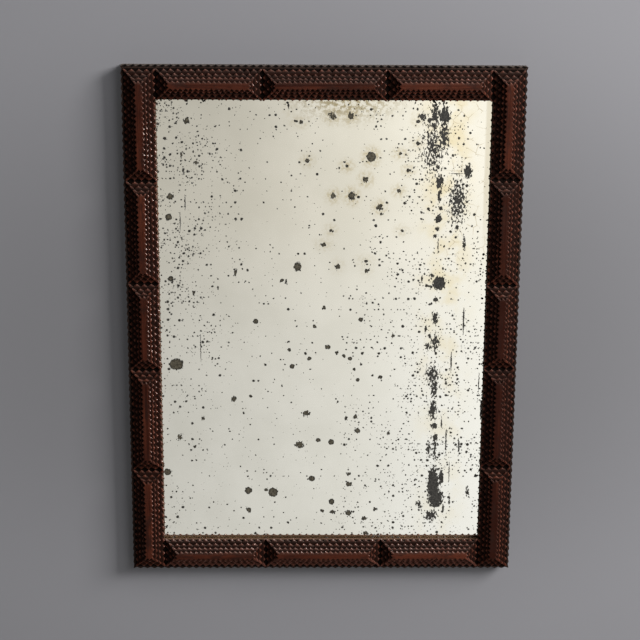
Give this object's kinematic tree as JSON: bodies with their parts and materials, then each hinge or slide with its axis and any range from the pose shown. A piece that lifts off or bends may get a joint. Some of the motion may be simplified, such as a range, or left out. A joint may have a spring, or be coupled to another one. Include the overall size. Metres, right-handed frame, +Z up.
{
  "type": "framed wall mirror",
  "caption": "Tall tramp art wall mirror: stacked notch-carved wood blocks on a lapped board frame, an old foxed mirror plate, a back board and swinging ring hangers.",
  "frame": {"origin": "middle of the frame's back, on the wall plane", "axes": "+Z up the wall, +X to the viewer's right, +Y from the carved front into the wall"},
  "size_m": [0.382, 0.026, 0.508],
  "materials": {
    "base_wood": "old shellac, dark",
    "carved_wood": "old shellac, worn tips",
    "back_wood": "bare, aged",
    "mirror_glass": "old silvering, foxed",
    "brad_iron": "dull iron",
    "hanger_brass": "tarnished brass",
    "screw_steel": "dull steel"
  },
  "bodies": {
    "frame": {"left_stile": "base_wood", "right_stile": "base_wood", "top_rail": "base_wood", "bottom_rail": "base_wood", "left_block_1_first_layer": "carved_wood", "left_block_1_second_layer": "carved_wood", "left_block_1_third_layer_and_cap": "carved_wood", "left_block_2_first_layer": "carved_wood", "left_block_2_second_layer": "carved_wood", "left_block_2_third_layer_and_cap": "carved_wood", "left_block_3_first_layer": "carved_wood", "left_block_3_second_layer": "carved_wood", "left_block_3_third_layer_and_cap": "carved_wood", "left_block_4_first_layer": "carved_wood", "left_block_4_second_layer": "carved_wood", "left_block_4_third_layer_and_cap": "carved_wood", "left_block_5_first_layer": "carved_wood", "left_block_5_second_layer": "carved_wood", "left_block_5_third_layer_and_cap": "carved_wood", "right_block_1_first_layer": "carved_wood", "right_block_1_second_layer": "carved_wood", "right_block_1_third_layer_and_cap": "carved_wood", "right_block_2_first_layer": "carved_wood", "right_block_2_second_layer": "carved_wood", "right_block_2_third_layer_and_cap": "carved_wood", "right_block_3_first_layer": "carved_wood", "right_block_3_second_layer": "carved_wood", "right_block_3_third_layer_and_cap": "carved_wood", "right_block_4_first_layer": "carved_wood", "right_block_4_second_layer": "carved_wood", "right_block_4_third_layer_and_cap": "carved_wood", "right_block_5_first_layer": "carved_wood", "right_block_5_second_layer": "carved_wood", "right_block_5_third_layer_and_cap": "carved_wood", "top_block_1_first_layer": "carved_wood", "top_block_1_second_layer": "carved_wood", "top_block_1_third_layer_and_cap": "carved_wood", "top_block_2_first_layer": "carved_wood", "top_block_2_second_layer": "carved_wood", "top_block_2_third_layer_and_cap": "carved_wood", "top_block_3_first_layer": "carved_wood", "top_block_3_second_layer": "carved_wood", "top_block_3_third_layer_and_cap": "carved_wood", "bottom_block_1_first_layer": "carved_wood", "bottom_block_1_second_layer": "carved_wood", "bottom_block_1_third_layer_and_cap": "carved_wood", "bottom_block_2_first_layer": "carved_wood", "bottom_block_2_second_layer": "carved_wood", "bottom_block_2_third_layer_and_cap": "carved_wood", "bottom_block_3_first_layer": "carved_wood", "bottom_block_3_second_layer": "carved_wood", "bottom_block_3_third_layer_and_cap": "carved_wood", "mirror_plate": "mirror_glass", "back_board": "back_wood", "back_board_brads": "brad_iron", "left_hanger_strap": "hanger_brass", "right_hanger_strap": "hanger_brass", "hanger_screws": "screw_steel"},
    "left_ring": {"left_hanger_ring": "hanger_brass"},
    "right_ring": {"right_hanger_ring": "hanger_brass"}
  },
  "joints": [
    {"name": "left_ring_swing", "type": "hinge", "parent": "frame", "child": "left_ring", "pos_m": [-0.178, -0.0027, 0.14], "axis": [1, 0, 0], "range_deg": [0, 180]},
    {"name": "right_ring_swing", "type": "hinge", "parent": "frame", "child": "right_ring", "pos_m": [0.178, -0.0027, 0.14], "axis": [1, 0, 0], "range_deg": [0, 180]}
  ]
}
